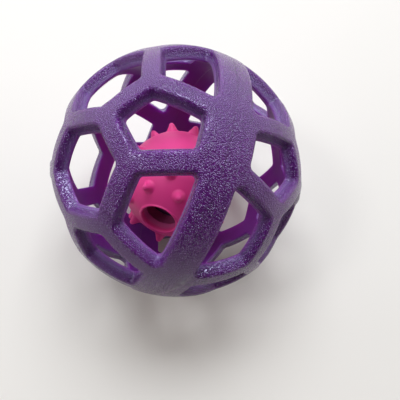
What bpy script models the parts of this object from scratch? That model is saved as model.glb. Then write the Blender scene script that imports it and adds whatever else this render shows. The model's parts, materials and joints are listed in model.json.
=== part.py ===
"""Squeaky chew ball: an open rubber lattice ball in two bonded halves, with a loose nubbed squeaker ball inside.

Units are metres, +Z is up. The ball stands on the opening beside the band of its right half, so the origin is
on the floor under the middle of the ball. The two halves meet on a plane that leans a little off vertical.
"""

from math import acos, asin, atan2, cos, pi, radians, sin, sqrt, tan

import bmesh
import bpy
from mathutils import Vector

MM = 0.001

# Lattice ball
OUTER_RADIUS = 45.0 * MM
WALL = 4.5 * MM
STRUT_WIDTH = 6.3 * MM
STRUT_DRAFT = radians(12.0)
EDGE_ROUND = 0.5 * MM
CORNER_ROUND = 1.3 * MM
BAND_AT_PENTAGON = 8.1 * MM
BAND_AT_OPENING = 5.6 * MM

# Net of the lattice: angles from the pole of a half, and spread to each side of a sector's middle
SECTORS = 5
POLE_ANGLE = radians(19.6)
APEX_ANGLE = radians(41.5)
SIDE_ANGLE = radians(57.2)
SIDE_SPREAD = radians(19.9)
RIM_ANGLE = radians(83.6)
RIM_SPREAD = radians(10.1)

# Joint between the halves: a locating lip in a groove, bonded
BOND_GAP = 0.3 * MM
LIP_WIDTH = 1.4 * MM
LIP_HEIGHT = 1.2 * MM
LIP_CLEARANCE = 0.3 * MM

# Flattened contact patches where the soft rubber stands on the floor
CONTACT_DEPTH = 0.5 * MM

# Loose squeaker ball
BALL_RADIUS = 21.4 * MM
BALL_WALL = 2.2 * MM
BALL_PLAY = 0.4 * MM
NUB_HEIGHT = 3.2 * MM
NUB_RADIUS = 2.3 * MM
NUB_ROWS = (
    # angle from the mouth, nubs in the row, turn of the first one
    (radians(38.5), 7, radians(72.0)),
    (radians(56.0), 8, radians(95.0)),
    (radians(79.0), 7, radians(89.0)),
    (radians(124.0), 12, radians(124.0)),
    (radians(152.0), 6, radians(109.0)),
)
MOUTH_RADIUS = 6.7 * MM
MOUTH_LIP = 0.6 * MM
MOUTH_DEPTH = 4.5 * MM
MOUTH_UNDERCUT = 0.8 * MM
MOUTH_ELEVATION = radians(27.0)
MOUTH_TURN = radians(-10.5)
NECK_WALL = 1.6 * MM

# Squeaker in the neck
FIT = 0.3 * MM
SQUEAKER_DEPTH = 9.0 * MM
CASE_LENGTH = 10.0 * MM
CASE_WALL = 0.9 * MM
CASE_FLOOR = 1.0 * MM
CAP_THICKNESS = 1.2 * MM
CAP_PLUG = 2.2 * MM
SEAT_LEDGE = 1.3 * MM
SEAT_THICKNESS = 1.5 * MM
PORT_RADIUS = 1.6 * MM
VENT_RADIUS = 1.7 * MM
REED_COLLAR_RADIUS = 2.6 * MM
REED_COLLAR_LENGTH = 2.6 * MM
REED_TUBE_RADIUS = 2.2 * MM
REED_BORE_RADIUS = 1.4 * MM
REED_TUBE_END = 0.8 * MM
REED_TUBE_ROOM = 1.2 * MM
REED_WIDTH = 3.4 * MM
REED_THICKNESS = 0.35 * MM

# Facets
SIDE_STEPS = 3
LONG_SIDE_STEPS = 6
ARC_STEPS = 2
BALL_STEPS = 36
NUB_STEPS = 8
CASE_STEPS = 24

# Sizes that follow from the ones above
CAVITY_RADIUS = OUTER_RADIUS - WALL
SECTOR = 2 * pi / SECTORS
BALL_DROP = CAVITY_RADIUS - BALL_RADIUS - NUB_HEIGHT - BALL_PLAY
MOUTH_PLANE = sqrt(BALL_RADIUS ** 2 - (MOUTH_RADIUS + MOUTH_LIP) ** 2)
CAP_TOP = MOUTH_PLANE - SQUEAKER_DEPTH
CAP_UNDERSIDE = CAP_TOP - CAP_THICKNESS
CASE_TOP = CAP_UNDERSIDE - FIT
CASE_BOTTOM = CASE_TOP - CASE_LENGTH
SEAT_TOP = CASE_BOTTOM - FIT
NECK_BORE = MOUTH_RADIUS + MOUTH_UNDERCUT
CASE_RADIUS = NECK_BORE - FIT
CASE_BORE = CASE_RADIUS - CASE_WALL
COLLAR_TOP = CAP_UNDERSIDE - FIT
COLLAR_BOTTOM = COLLAR_TOP - REED_COLLAR_LENGTH
REED_ROOT = COLLAR_BOTTOM - FIT
REED_TUBE_BOTTOM = CASE_BOTTOM + CASE_FLOOR + REED_TUBE_ROOM
REED_LENGTH = REED_ROOT - REED_TUBE_BOTTOM


def clear_scene():
    """Start from an empty scene."""
    for item in list(bpy.data.objects):
        bpy.data.objects.remove(item, do_unlink=True)


def finish_material(name, colour, roughness):
    """One plain moulded finish."""
    material = bpy.data.materials.new(name)
    material.use_nodes = True
    shader = material.node_tree.nodes["Principled BSDF"]
    shader.inputs["Base Color"].default_value = (*colour, 1.0)
    shader.inputs["Roughness"].default_value = roughness
    shader.inputs["Metallic"].default_value = 0.0
    return material


def pivot(name, parent=None, location=(0, 0, 0), rotation=(0, 0, 0)):
    """An empty that carries other pieces."""
    empty = bpy.data.objects.new(name, None)
    bpy.context.collection.objects.link(empty)
    empty.parent = parent
    empty.location = location
    empty.rotation_euler = rotation
    return empty


def piece(name, bm, material, parent, location=(0, 0, 0), rotation=(0, 0, 0)):
    """Turn a built shape into a named object on its carrier."""
    bmesh.ops.recalc_face_normals(bm, faces=bm.faces)
    mesh = bpy.data.meshes.new(name)
    bm.to_mesh(mesh)
    bm.free()
    mesh.materials.append(material)
    mesh.shade_smooth()
    mesh.set_sharp_from_angle(angle=radians(35))
    item = bpy.data.objects.new(name, mesh)
    bpy.context.collection.objects.link(item)
    item.parent = parent
    item.location = location
    item.rotation_euler = rotation
    return item


def tool(name, bm, parent=None):
    """A hidden shape that only joins or cuts another one."""
    bmesh.ops.recalc_face_normals(bm, faces=bm.faces)
    mesh = bpy.data.meshes.new(name)
    bm.to_mesh(mesh)
    bm.free()
    item = bpy.data.objects.new(name, mesh)
    bpy.context.collection.objects.link(item)
    item.parent = parent
    item.hide_render = True
    item.display_type = "WIRE"
    return item


def combine(item, other, operation):
    """Join or cut one object with another."""
    modifier = item.modifiers.new(operation.lower(), "BOOLEAN")
    modifier.operation = operation
    modifier.object = other


def turned(bm, profile, steps, frame=None):
    """Add a shape turned about Z from (radius, height) points, closed at the axis or into a ring."""
    rings = []
    for radius, height in profile:
        if radius < 1e-9:
            rings.append([bm.verts.new((0, 0, height))])
            continue
        ring = []
        for step in range(steps):
            angle = 2 * pi * step / steps
            ring.append(bm.verts.new((radius * cos(angle), radius * sin(angle), height)))
        rings.append(ring)
    on_axis = len(rings[0]) == 1 and len(rings[-1]) == 1
    pairs = list(zip(rings, rings[1:]))
    if not on_axis:
        pairs.append((rings[-1], rings[0]))
    for upper, lower in pairs:
        for step in range(steps):
            after = (step + 1) % steps
            if len(upper) == 1:
                bm.faces.new((upper[0], lower[step], lower[after]))
            elif len(lower) == 1:
                bm.faces.new((upper[step], lower[0], upper[after]))
            else:
                bm.faces.new((upper[step], lower[step], lower[after], upper[after]))
    if frame is not None:
        points = [point for ring in rings for point in ring]
        bmesh.ops.transform(bm, matrix=frame, verts=points)


def box_shape(low, high):
    """A box between two corners."""
    bm = bmesh.new()
    bmesh.ops.create_cube(bm, size=1.0)
    middle = (Vector(low) + Vector(high)) / 2
    size = Vector(high) - Vector(low)
    bmesh.ops.scale(bm, vec=size, verts=bm.verts)
    bmesh.ops.translate(bm, vec=middle, verts=bm.verts)
    return bm


def on_sphere(polar, azimuth):
    """Unit vector at an angle from +Z and an angle round it."""
    return Vector((sin(polar) * cos(azimuth), sin(polar) * sin(azimuth), cos(polar)))


def lattice_points():
    """Named crossing points of one half's net, as unit vectors with the pole on +Z."""
    points = {}
    for k in range(SECTORS):
        middle = SECTOR * k
        points["pole", k] = on_sphere(POLE_ANGLE, middle)
        points["apex", k] = on_sphere(APEX_ANGLE, middle)
        for name, sign in (("left", -1), ("right", 1)):
            points["side " + name, k] = on_sphere(SIDE_ANGLE, middle + sign * SIDE_SPREAD)
            points["rim " + name, k] = on_sphere(RIM_ANGLE, middle + sign * RIM_SPREAD)
    return points


def lattice_holes():
    """Each hole as the crossing points round it, anticlockwise from outside. Holes on the band start there."""
    holes = [[("pole", k) for k in range(SECTORS)]]
    for k in range(SECTORS):
        n = (k + 1) % SECTORS
        holes.append([("pole", k), ("apex", k), ("side right", k), ("side left", n), ("apex", n), ("pole", n)])
        holes.append([("rim left", k), ("rim right", k), ("side right", k), ("apex", k), ("side left", k)])
        holes.append([("rim right", k), ("rim left", n), ("side left", n), ("side right", k)])
    return holes


def on_rim(point):
    return point[0].startswith("rim")


def side_is_band(hole, i):
    """Whether a hole's side runs along the band."""
    return on_rim(hole[i]) and on_rim(hole[(i + 1) % len(hole)])


def side_steps(hole, i):
    """Facets along one side: the openings beside the band have one long side."""
    return LONG_SIDE_STEPS if side_is_band(hole, i) and len(hole) == 4 else SIDE_STEPS


def band_half_width(hole):
    return BAND_AT_OPENING if len(hole) == 4 else BAND_AT_PENTAGON


def side_circle(points, hole, i, rounding, draft):
    """A side of a hole as a circle on the sphere: its axis, and its distance from the centre. The edge rounding
    moves every side back, the draft moves the struts' sides into the hole, and the band's sides have no draft."""
    if side_is_band(hole, i):
        return Vector((0, 0, 1)), band_half_width(hole) - rounding
    axis = points[hole[i]].cross(points[hole[(i + 1) % len(hole)]]).normalized()
    return axis, STRUT_WIDTH / 2 - rounding + draft


def crossing(axis_a, lift_a, axis_b, lift_b, near):
    """Where two circles on the unit sphere cross, on the side nearest a given point."""
    dot = axis_a.dot(axis_b)
    share = 1 - dot * dot
    foot = axis_a * ((lift_a - lift_b * dot) / share) + axis_b * ((lift_b - lift_a * dot) / share)
    along = axis_a.cross(axis_b)
    reach = sqrt((1 - foot.length_squared) / along.length_squared)
    return max((foot + along * reach, foot - along * reach), key=lambda spot: spot.dot(near))


def onto_circle(spot, axis, lift):
    """Move a point onto a circle of the unit sphere."""
    flat = spot - axis * spot.dot(axis)
    return axis * lift + flat.normalized() * sqrt(1 - lift * lift)


def hole_ring(points, hole, radius, rounding, draft):
    """Points round one hole on a sphere: for each corner its rounding, then the side that follows."""
    count = len(hole)
    circles = []
    for i in range(count):
        axis, lift = side_circle(points, hole, i, rounding, draft)
        circles.append((axis, lift / radius))
    starts = []
    for i in range(count):
        near = points[hole[i]]
        corner = crossing(*circles[i - 1], *circles[i], near)
        inward = circles[i - 1][0].cross(corner)
        outward = circles[i][0].cross(corner)
        back = -inward.normalized()
        ahead = outward.normalized()
        half_angle = back.angle(ahead) / 2
        cut = CORNER_ROUND / radius / tan(half_angle)
        hub = corner + (back + ahead).normalized() * (CORNER_ROUND / radius / sin(half_angle))
        first = corner + back * cut - hub
        last = corner + ahead * cut - hub
        arc = []
        for step in range(ARC_STEPS + 1):
            share = step / ARC_STEPS
            spoke = first.lerp(last, share).normalized() * first.length
            arc.append((hub + spoke).normalized())
        arc[0] = onto_circle(arc[0], *circles[i - 1])
        arc[-1] = onto_circle(arc[-1], *circles[i])
        starts.append(arc)
    ring = []
    for i in range(count):
        ring.extend(starts[i])
        following = starts[(i + 1) % count][0]
        steps = side_steps(hole, i)
        for step in range(1, steps):
            spot = starts[i][-1].lerp(following, step / steps)
            ring.append(onto_circle(spot, *circles[i]))
    return [spot * radius for spot in ring]


def corner_offsets(hole):
    """Where each corner's rounding starts in a hole's ring."""
    offsets = [0]
    for i in range(len(hole)):
        offsets.append(offsets[-1] + ARC_STEPS + side_steps(hole, i))
    return offsets


def arc_of(hole, ring, i):
    start = corner_offsets(hole)[i]
    return ring[start:start + ARC_STEPS + 1]


def side_of(hole, ring, i):
    """The points of one side, from the end of one rounding to the start of the next."""
    offsets = corner_offsets(hole)
    stretch = ring[offsets[i] + ARC_STEPS:offsets[i + 1]]
    return stretch + [ring[offsets[i + 1] % len(ring)]]


def add_fan(bm, polygon, radius):
    """A patch of the sphere inside a loop of points, round its own middle."""
    middle = sum((vert.co for vert in polygon), Vector()).normalized() * radius
    hub = bm.verts.new(middle)
    for a, b in zip(polygon, polygon[1:] + polygon[:1]):
        bm.faces.new((hub, a, b))


def add_skin(bm, holes, rings, radius):
    """Struts, crossings and the top of the band on one sphere. Returns the loop where the band begins."""
    sides = {}
    for index, hole in enumerate(holes):
        for i in range(len(hole)):
            sides[hole[i], hole[(i + 1) % len(hole)]] = (index, i)
    for (a, b), (index, i) in sides.items():
        if (b, a) not in sides or a > b:
            continue
        other, j = sides[b, a]
        near = side_of(holes[index], rings[index], i)
        far = side_of(holes[other], rings[other], j)[::-1]
        for step in range(len(near) - 1):
            bm.faces.new((near[step], far[step], far[step + 1], near[step + 1]))
    for point in dict.fromkeys(name for hole in holes for name in hole):
        touching = [(index, hole.index(point)) for index, hole in enumerate(holes) if point in hole]
        # start at a hole that is followed by another one round this crossing: on the band only one is
        index, i = next((n, c) for n, c in touching if (point, holes[n][c - 1]) in sides)
        polygon = []
        for _ in touching:
            polygon += arc_of(holes[index], rings[index], i)[::-1]
            index, i = sides.get((point, holes[index][i - 1]), (index, i))
        add_fan(bm, polygon, radius)
    loop = []
    for k in range(SECTORS):
        loop += side_of(holes[3 * k + 2], rings[3 * k + 2], 0)
        loop += side_of(holes[3 * k + 3], rings[3 * k + 3], 0)
    return loop


def add_bridge(bm, first, second):
    """Faces between two closed loops of the same count."""
    for a, b, c, d in zip(first, first[1:] + first[:1], second[1:] + second[:1], second):
        bm.faces.new((a, b, c, d))


def level_ring(bm, loop, radius, height):
    """A level ring under another loop, at its points' bearings."""
    ring = []
    for vert in loop:
        bearing = atan2(vert.co.y, vert.co.x)
        ring.append(bm.verts.new((radius * cos(bearing), radius * sin(bearing), height)))
    return ring


def cage_half_shape(lip):
    """One half of the lattice ball, pole on +Z. It carries the locating lip or the groove for it."""
    points = lattice_points()
    holes = lattice_holes()
    bm = bmesh.new()
    levels = (
        # radius, edge rounding, draft
        (OUTER_RADIUS, EDGE_ROUND, 0.0),
        (OUTER_RADIUS - EDGE_ROUND, 0.0, 0.0),
        (CAVITY_RADIUS, 0.0, WALL * tan(STRUT_DRAFT)),
    )
    stacks = []
    for level in levels:
        stacks.append([[bm.verts.new(spot) for spot in hole_ring(points, hole, *level)] for hole in holes])
    for upper, lower in zip(stacks, stacks[1:]):
        for first, second in zip(upper, lower):
            add_bridge(bm, first, second)
    outer_loop = add_skin(bm, holes, stacks[0], OUTER_RADIUS)
    inner_loop = add_skin(bm, holes, stacks[-1], CAVITY_RADIUS)

    face = BOND_GAP / 2
    middle = OUTER_RADIUS - WALL / 2
    if lip:
        width = LIP_WIDTH / 2
        reach = face - LIP_HEIGHT
    else:
        width = LIP_WIDTH / 2 + LIP_CLEARANCE
        reach = LIP_HEIGHT + face + LIP_CLEARANCE - BOND_GAP
    rims = [
        level_ring(bm, outer_loop, sqrt(OUTER_RADIUS ** 2 - face ** 2), face),
        level_ring(bm, outer_loop, middle + width, face),
        level_ring(bm, outer_loop, middle + width, reach),
        level_ring(bm, outer_loop, middle - width, reach),
        level_ring(bm, outer_loop, middle - width, face),
        level_ring(bm, inner_loop, sqrt(CAVITY_RADIUS ** 2 - face ** 2), face),
    ]
    stack = [outer_loop] + rims + [inner_loop]
    for first, second in zip(stack, stack[1:]):
        add_bridge(bm, first, second)
    return bm


def standing_angles():
    """How the ball stands on the opening beside the band: the angle from the pole to the lowest point of the
    ball's sphere, and the angle from there to the edges that touch the floor."""
    band_edge = acos((BAND_AT_OPENING - EDGE_ROUND) / OUTER_RADIUS)
    half_gap = SECTOR / 2 - SIDE_SPREAD
    strut_middle = atan2(sin(SIDE_ANGLE) * cos(half_gap), cos(SIDE_ANGLE))
    strut_edge = strut_middle + asin((STRUT_WIDTH / 2 - EDGE_ROUND) / OUTER_RADIUS)
    return (band_edge + strut_edge) / 2, (band_edge - strut_edge) / 2


def make_cage(material):
    """The two halves of the lattice ball, standing on the floor."""
    lean, reach = standing_angles()
    height = OUTER_RADIUS * cos(reach) - CONTACT_DEPTH
    centre = pivot("cage_centre", None, (0, 0, height), (0, -lean, 0))
    piece("left_cage_half", cage_half_shape(lip=True), material, centre)
    right = piece("right_cage_half", cage_half_shape(lip=False), material, centre, (0, 0, 0), (pi, 0, 0))
    span = 2 * OUTER_RADIUS
    floor = tool("floor_cut", box_shape((-span, -span, -span), (span, span, 0)))
    combine(right, floor, "DIFFERENCE")
    return height


def ball_shape():
    """The hollow ball, its mouth on +Z, with the neck that holds the squeaker."""
    lip_radius = MOUTH_RADIUS + MOUTH_LIP
    hollow_radius = BALL_RADIUS - BALL_WALL
    neck_radius = NECK_BORE + NECK_WALL
    seat_radius = NECK_BORE - SEAT_LEDGE
    neck_top = sqrt(hollow_radius ** 2 - neck_radius ** 2)
    outer_steps = BALL_STEPS // 2
    lip_angle = asin(lip_radius / BALL_RADIUS)
    profile = []
    for step in range(outer_steps + 1):
        polar = pi - (pi - lip_angle) * step / outer_steps
        profile.append((BALL_RADIUS * sin(polar), BALL_RADIUS * cos(polar)))
    profile[0] = (0.0, -BALL_RADIUS)
    profile.append((MOUTH_RADIUS, MOUTH_PLANE - MOUTH_LIP / 2))
    profile.append((MOUTH_RADIUS, MOUTH_PLANE - MOUTH_DEPTH))
    profile.append((NECK_BORE, MOUTH_PLANE - MOUTH_DEPTH))
    profile.append((NECK_BORE, SEAT_TOP))
    profile.append((seat_radius, SEAT_TOP))
    profile.append((seat_radius, SEAT_TOP - SEAT_THICKNESS))
    profile.append((neck_radius, SEAT_TOP - SEAT_THICKNESS))
    neck_angle = asin(neck_radius / hollow_radius)
    inner_steps = outer_steps // 2
    profile.append((neck_radius, neck_top))
    for step in range(1, inner_steps):
        polar = neck_angle + (pi - neck_angle) * step / inner_steps
        profile.append((hollow_radius * sin(polar), hollow_radius * cos(polar)))
    profile.append((0.0, -hollow_radius))
    bm = bmesh.new()
    turned(bm, profile, BALL_STEPS)
    return bm


def nub_shape():
    """All nubs of the ball, each with its foot sunk in the ball's wall."""
    foot = -BALL_WALL / 3
    profile = (
        (0.0, foot),
        (NUB_RADIUS, foot),
        (NUB_RADIUS, 0.06 * NUB_HEIGHT),
        (0.74 * NUB_RADIUS, 0.42 * NUB_HEIGHT),
        (0.6 * NUB_RADIUS, 0.74 * NUB_HEIGHT),
        (0.34 * NUB_RADIUS, 0.95 * NUB_HEIGHT),
        (0.0, NUB_HEIGHT),
    )
    bm = bmesh.new()
    for polar, count, turn in NUB_ROWS:
        for k in range(count):
            outward = on_sphere(polar, turn + 2 * pi * k / count)
            frame = outward.to_track_quat("Z", "Y").to_matrix().to_4x4()
            frame.translation = outward * BALL_RADIUS
            turned(bm, profile, NUB_STEPS, frame)
    return bm


def make_inner_ball(height, vinyl, case_plastic, reed_plastic):
    """The loose ball and the squeaker in its neck."""
    roll = pivot("inner_ball_roll", None, (0, 0, height))
    centre = pivot("inner_ball_centre", roll, (0, 0, -BALL_DROP), (pi / 2 - MOUTH_ELEVATION, 0, MOUTH_TURN))
    ball = piece("inner_ball", ball_shape(), vinyl, centre)
    combine(ball, tool("inner_ball_nubs", nub_shape(), centre), "UNION")
    make_case(centre, case_plastic)
    make_reed(centre, case_plastic, reed_plastic)


def make_case(centre, material):
    """The cup and the vented cap of the squeaker's case."""
    cup = bmesh.new()
    turned(cup, (
        (CASE_RADIUS, CASE_TOP),
        (CASE_RADIUS, CASE_BOTTOM),
        (PORT_RADIUS, CASE_BOTTOM),
        (PORT_RADIUS, CASE_BOTTOM + CASE_FLOOR),
        (CASE_BORE, CASE_BOTTOM + CASE_FLOOR),
        (CASE_BORE, CASE_TOP),
    ), CASE_STEPS)
    piece("squeaker_cup", cup, material, centre)

    socket = REED_COLLAR_RADIUS + FIT
    plug = CASE_BORE - FIT
    cap = bmesh.new()
    turned(cap, (
        (CASE_RADIUS, CAP_TOP),
        (CASE_RADIUS, CAP_UNDERSIDE),
        (plug, CAP_UNDERSIDE),
        (plug, CAP_UNDERSIDE - CAP_PLUG),
        (socket, CAP_UNDERSIDE - CAP_PLUG),
        (socket, CAP_UNDERSIDE),
        (VENT_RADIUS, CAP_UNDERSIDE),
        (VENT_RADIUS, CAP_TOP),
    ), CASE_STEPS)
    piece("squeaker_cap", cap, material, centre)


def make_reed(centre, tube_material, reed_material):
    """The half-round reed tube under the cap, and the reed on its flat face."""
    blind_end = REED_TUBE_BOTTOM + REED_TUBE_END
    tube = bmesh.new()
    turned(tube, (
        (0.0, REED_TUBE_BOTTOM),
        (REED_TUBE_RADIUS, REED_TUBE_BOTTOM),
        (REED_TUBE_RADIUS, COLLAR_BOTTOM),
        (REED_COLLAR_RADIUS, COLLAR_BOTTOM),
        (REED_COLLAR_RADIUS, COLLAR_TOP),
        (REED_BORE_RADIUS, COLLAR_TOP),
        (REED_BORE_RADIUS, blind_end),
        (0.0, blind_end),
    ), CASE_STEPS)
    item = piece("reed_tube", tube, tube_material, centre)
    span = 2 * REED_COLLAR_RADIUS
    flat = box_shape((-span, 0, REED_TUBE_BOTTOM - span), (span, span, COLLAR_BOTTOM))
    combine(item, tool("reed_flat_cut", flat, centre), "DIFFERENCE")

    # the reed turns about its root, so its own origin is there
    reed = box_shape((-REED_WIDTH / 2, -REED_THICKNESS / 2, -REED_LENGTH), (REED_WIDTH / 2, REED_THICKNESS / 2, 0))
    piece("reed", reed, reed_material, centre, (0, FIT + REED_THICKNESS / 2, REED_ROOT))


def main():
    clear_scene()
    rubber = finish_material("purple_rubber", (0.09, 0.03, 0.22), 0.55)
    vinyl = finish_material("pink_vinyl", (0.66, 0.03, 0.18), 0.5)
    case_plastic = finish_material("dark_plastic", (0.03, 0.02, 0.03), 0.45)
    reed_plastic = finish_material("clear_film", (0.8, 0.82, 0.85), 0.2)
    height = make_cage(rubber)
    make_inner_ball(height, vinyl, case_plastic, reed_plastic)


main()
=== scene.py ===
# %% [markdown]
# # A squeaky chew ball
#
# The toy is an open rubber ball, moulded as two halves that are bonded along a wide plain band. A
# small hollow ball with soft nubs lies loose inside it, and a squeaker sits in the neck behind that
# ball's mouth. This lesson dresses the solids of the part: it builds finer shapes in the same
# places, gives each one its finish, and sets up the camera, the floor and the light.

# %% Load the solids
import json
import math

import bmesh
import bpy
from mathutils import Matrix, Vector

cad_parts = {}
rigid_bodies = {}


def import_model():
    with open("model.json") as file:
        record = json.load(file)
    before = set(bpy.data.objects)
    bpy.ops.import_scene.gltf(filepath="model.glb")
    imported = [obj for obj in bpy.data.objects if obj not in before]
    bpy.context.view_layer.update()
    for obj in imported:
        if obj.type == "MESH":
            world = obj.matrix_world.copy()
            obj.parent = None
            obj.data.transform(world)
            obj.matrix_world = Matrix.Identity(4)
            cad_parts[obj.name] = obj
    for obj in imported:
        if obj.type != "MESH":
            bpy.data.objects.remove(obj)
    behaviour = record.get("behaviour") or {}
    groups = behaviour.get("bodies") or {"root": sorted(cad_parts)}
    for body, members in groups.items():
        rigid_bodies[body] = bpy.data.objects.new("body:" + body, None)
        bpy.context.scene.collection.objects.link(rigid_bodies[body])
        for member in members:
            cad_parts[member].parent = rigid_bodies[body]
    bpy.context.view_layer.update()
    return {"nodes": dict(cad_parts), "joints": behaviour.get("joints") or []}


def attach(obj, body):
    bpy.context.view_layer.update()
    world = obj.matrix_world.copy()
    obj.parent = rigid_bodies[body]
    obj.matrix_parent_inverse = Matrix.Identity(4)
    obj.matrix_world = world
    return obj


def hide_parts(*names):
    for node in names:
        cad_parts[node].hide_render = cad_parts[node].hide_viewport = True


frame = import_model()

MM = 0.001
print("solids:", sorted(frame["nodes"]))

# %% [markdown]
# ## The net of the lattice
#
# Each half has a five-fold net: one pentagon at the pole, a ring of hexagons, a ring of pentagons
# that touch the band, and a low opening between each two of those. The crossings are few, so they
# are best written as angles on a sphere: how far from the pole, and how far to the side of the
# sector's middle.

# %% Crossings of one half, with its pole on +Z
SECTORS = 5
SECTOR = 2 * math.pi / SECTORS
SIDE_SPREAD = math.radians(19.9)
RIM_SPREAD = math.radians(10.1)
SIDE_ANGLE = math.radians(57.2)
RIM_ANGLE = math.radians(83.6)
NET = {
    "pole": (math.radians(19.6), 0.0),
    "apex": (math.radians(41.5), 0.0),
    "side left": (SIDE_ANGLE, -SIDE_SPREAD),
    "side right": (SIDE_ANGLE, SIDE_SPREAD),
    "rim left": (RIM_ANGLE, -RIM_SPREAD),
    "rim right": (RIM_ANGLE, RIM_SPREAD),
}
HEXAGON = [("pole", 0), ("apex", 0), ("side right", 0), ("side left", 1), ("apex", 1), ("pole", 1)]
PENTAGON = [("rim left", 0), ("rim right", 0), ("side right", 0), ("apex", 0), ("side left", 0)]
OPENING = [("rim right", 0), ("rim left", 1), ("side left", 1), ("side right", 0)]
POLE = [("pole", k) for k in range(SECTORS)]


def on_sphere(polar, azimuth):
    """Unit vector at an angle from +Z and an angle round it."""
    flat = math.sin(polar)
    return Vector((flat * math.cos(azimuth), flat * math.sin(azimuth), math.cos(polar)))


def crossing(name, k):
    """Unit vector of a named crossing in sector k."""
    polar, spread = NET[name]
    return on_sphere(polar, SECTOR * k + spread)


print("crossings in a sector:", len(NET))

# %% [markdown]
# ## The outline of a hole
#
# A strut has the same width all along, so each side of a hole is a circle on the sphere, parallel
# to the great circle through two crossings. The corners are rounded where two such circles meet.
# Scaling a flat polygon would be quicker, but its struts would be wide in the middle and thin at
# the crossings.

# %% Sizes of the lattice
OUTER_RADIUS = 45.0 * MM
WALL = 4.5 * MM
CAVITY_RADIUS = OUTER_RADIUS - WALL
STRUT_HALF = 3.15 * MM
BAND_AT_PENTAGON = 8.1 * MM
BAND_AT_OPENING = 5.6 * MM
CORNER_ROUND = 1.8 * MM
ARC_STEPS = 8
SIDE_STEPS = 14
LONG_SIDE_STEPS = 26
print("ball:", round(2 * OUTER_RADIUS / MM, 1), "mm across")
print("struts:", round(2 * STRUT_HALF / MM, 1), "mm wide")

# %% Sides of a hole
def along_band(corners, i):
    """Whether side i of a hole runs along the band."""
    following = corners[(i + 1) % len(corners)]
    return corners[i][0].startswith("rim") and following[0].startswith("rim")


def steps_of(corners, i):
    """Faces along side i."""
    return LONG_SIDE_STEPS if along_band(corners, i) and len(corners) == 4 else SIDE_STEPS


def side_circle(corners, i, radius, strut_trim, band_trim):
    """The circle of one side on the unit sphere: its axis and its lift from the centre."""
    if along_band(corners, i):
        band = BAND_AT_OPENING if len(corners) == 4 else BAND_AT_PENTAGON
        return Vector((0, 0, 1)), (band + band_trim) / radius
    axis = crossing(*corners[i]).cross(crossing(*corners[(i + 1) % len(corners)]))
    return axis.normalized(), (STRUT_HALF + strut_trim) / radius


print("faces along a strut:", steps_of(HEXAGON, 0), "and along an opening:", steps_of(OPENING, 0))

# %% Rounded corners of a hole
def meet(first, second, near):
    """Where two circles on the unit sphere cross, nearest to a given point."""
    (axis_a, lift_a), (axis_b, lift_b) = first, second
    dot = axis_a.dot(axis_b)
    share = 1 - dot * dot
    foot = axis_a * ((lift_a - lift_b * dot) / share) + axis_b * ((lift_b - lift_a * dot) / share)
    along = axis_a.cross(axis_b)
    reach = math.sqrt((1 - foot.length_squared) / along.length_squared)
    return max((foot + along * reach, foot - along * reach), key=lambda spot: spot.dot(near))


def onto_circle(spot, circle):
    """Move a point onto a circle of the unit sphere."""
    axis, lift = circle
    flat = spot - axis * spot.dot(axis)
    return axis * lift + flat.normalized() * math.sqrt(1 - lift * lift)


def corner_arc(corners, i, circles, radius, rounding):
    """Rounding of corner i, from the side before it to the side after it."""
    before, after = circles[i - 1], circles[i]
    corner = meet(before, after, crossing(*corners[i]))
    back = -before[0].cross(corner).normalized()
    ahead = after[0].cross(corner).normalized()
    half_angle = back.angle(ahead) / 2
    hub = corner + (back + ahead).normalized() * (rounding / radius / math.sin(half_angle))
    cut = rounding / radius / math.tan(half_angle)
    first = corner + back * cut - hub
    last = corner + ahead * cut - hub
    sweep = first.angle(last)
    arc = []
    for step in range(ARC_STEPS + 1):
        angle = sweep * step / ARC_STEPS
        spoke = first * math.sin(sweep - angle) + last * math.sin(angle)
        arc.append((hub + spoke / math.sin(sweep)).normalized())
    arc[0] = onto_circle(arc[0], before)
    arc[-1] = onto_circle(arc[-1], after)
    return arc


print("faces round a corner:", ARC_STEPS)

# %% Outline of one hole
def hole_outline(corners, radius, strut_trim, band_trim):
    """Points round one hole on a sphere. A trim moves a side into the hole, or out if negative."""
    count = len(corners)
    circles = [side_circle(corners, i, radius, strut_trim, band_trim) for i in range(count)]
    arcs = [corner_arc(corners, i, circles, radius, CORNER_ROUND - strut_trim) for i in range(count)]
    outline = []
    for i in range(count):
        outline.extend(arcs[i])
        start, end = arcs[i][-1], arcs[(i + 1) % count][0]
        steps = steps_of(corners, i)
        for step in range(1, steps):
            outline.append(onto_circle(start.lerp(end, step / steps), circles[i]))
    return [spot * radius for spot in outline]


print("points round a hexagon:", len(hole_outline(HEXAGON, OUTER_RADIUS, 0.0, 0.0)))

# %% [markdown]
# ## One tile of the lattice
#
# A tile is a hole with half of each strut round it. Its outer edge follows the middles of the
# struts, and on the band it runs down to the joint. From that edge the surface goes over the
# outside, round the soft edge, down the tapered wall of the hole and back along the inside.
# Neighbouring tiles share their edges exactly, so they weld into one skin.

# %% Edge of a tile
SEAM_HALF_GAP = 0.01 * MM


def on_joint(azimuth, radius):
    """A point on the joint face between the halves."""
    flat = math.sqrt(radius ** 2 - SEAM_HALF_GAP ** 2)
    return Vector((flat * math.cos(azimuth), flat * math.sin(azimuth), SEAM_HALF_GAP))


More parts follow.
